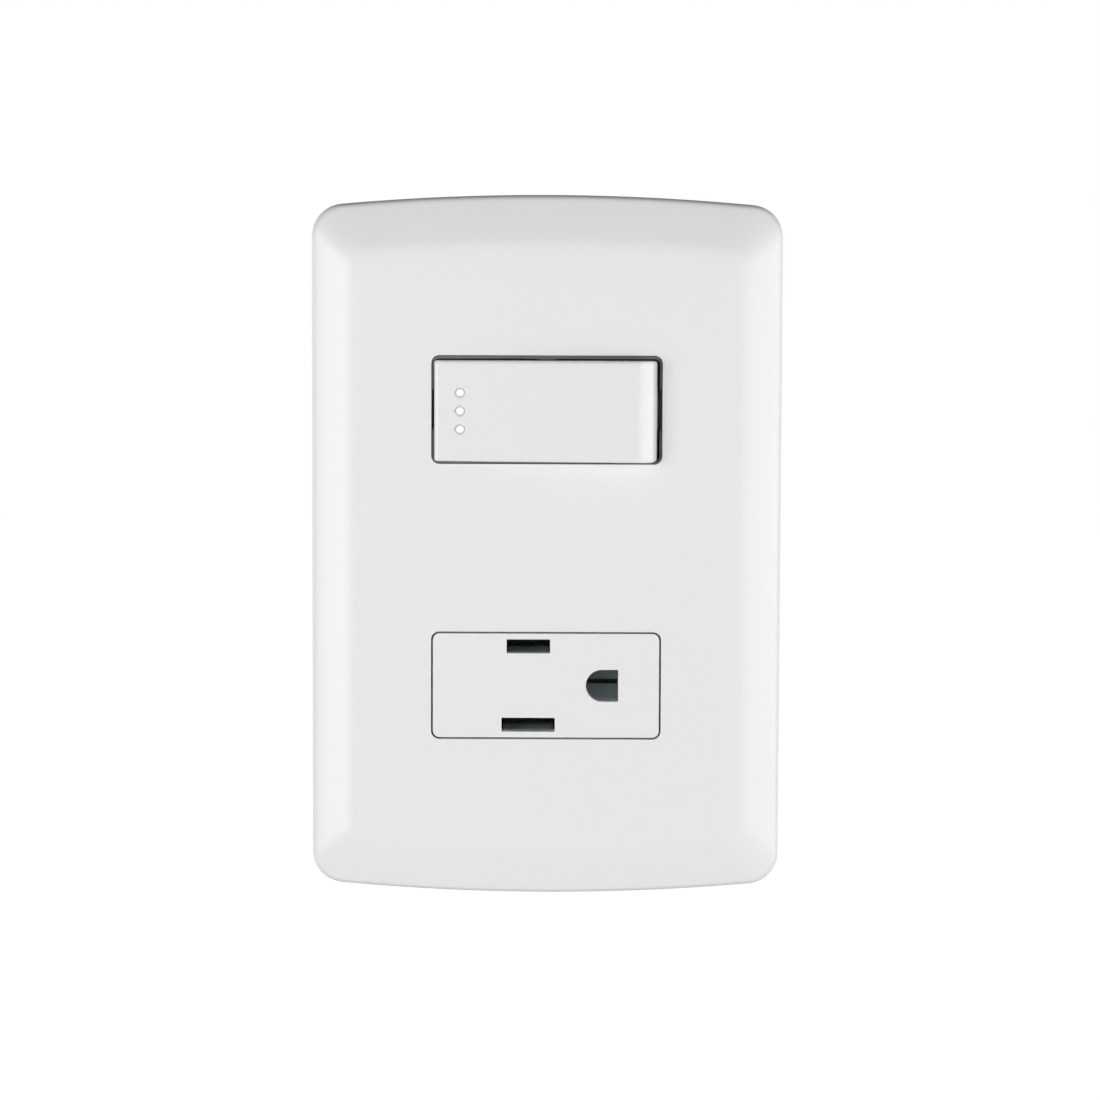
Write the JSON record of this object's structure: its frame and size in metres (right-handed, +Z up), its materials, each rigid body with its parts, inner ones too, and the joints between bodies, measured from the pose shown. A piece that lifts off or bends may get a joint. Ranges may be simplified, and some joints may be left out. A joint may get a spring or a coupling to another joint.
{
  "type": "switch and socket combination",
  "caption": "Wall plate with a rocker switch above a two-blade and earth-pin socket, on a snap-in support frame.",
  "frame": {"origin": "on the wall plane, midway between the two box screws, at the centre of the plate", "axes": "+Z up, +Y into the wall, +X to the right as seen from the room"},
  "size_m": [0.0756, 0.0269, 0.113],
  "materials": {
    "plate_plastic": "moulded white plastic, soft gloss",
    "key_plastic": "moulded white plastic, satin gloss",
    "face_plastic": "moulded white plastic, soft gloss",
    "glow_plastic": "milky white light strip",
    "frame_plastic": "light grey moulded plastic",
    "collar_plastic": "dark grey moulded plastic",
    "housing_plastic": "black moulded plastic, fine texture",
    "carrier_plastic": "dark moulded plastic",
    "plunger_plastic": "natural moulded plastic",
    "spring_steel": "bright spring wire",
    "contact_brass": "stamped brass strip",
    "contact_plated": "nickel-plated bronze strip",
    "contact_silver": "silver contact rivet",
    "clamp_zinc": "zinc-plated steel"
  },
  "bodies": {
    "root": {"wall_plate": "plate_plastic", "support_frame": "frame_plastic", "rocker_collar": "collar_plastic", "fixed_contact": "contact_silver", "common_terminal": "contact_brass", "load_terminal": "contact_brass", "switch_housing": "housing_plastic", "socket_face": "face_plastic", "socket_body": "housing_plastic", "line_contact": "contact_plated", "neutral_contact": "contact_plated", "ground_contact": "contact_plated", "common_clamp": "clamp_zinc", "common_screw": "clamp_zinc", "load_clamp": "clamp_zinc", "load_screw": "clamp_zinc", "line_clamp": "clamp_zinc", "line_screw": "clamp_zinc", "neutral_clamp": "clamp_zinc", "neutral_screw": "clamp_zinc", "ground_clamp": "clamp_zinc", "ground_screw": "clamp_zinc"},
    "rocker": {"rocker_key": "key_plastic", "plunger_carrier": "carrier_plastic", "glow_insert": "glow_plastic", "plunger_spring": "spring_steel"},
    "plunger": {"plunger": "plunger_plastic"},
    "lever": {"contact_lever": "contact_brass", "moving_contact": "contact_silver"}
  },
  "joints": [
    {"name": "rocker_tilt", "type": "hinge", "parent": "root", "child": "rocker", "pos_m": [0, -0.0049, 0.022], "axis": [0, 0, 1], "range_deg": [0, 11]},
    {"name": "lever_rock", "type": "hinge", "parent": "root", "child": "lever", "pos_m": [0, 0.0066, 0.0222], "axis": [0, 0, 1], "range_deg": [-14, 0]},
    {"name": "plunger_slide", "type": "slide", "parent": "rocker", "child": "plunger", "axis": [0.0958, 0.9954, 0], "range_m": [0, 0.0004], "stiffness_N_per_m": 100, "springref_m": 0.0004, "deforming": ["plunger_spring"]}
  ],
  "couplings": [
    {"joint": "lever_rock", "follows": "rocker_tilt", "ratio": -1.2727}
  ]
}
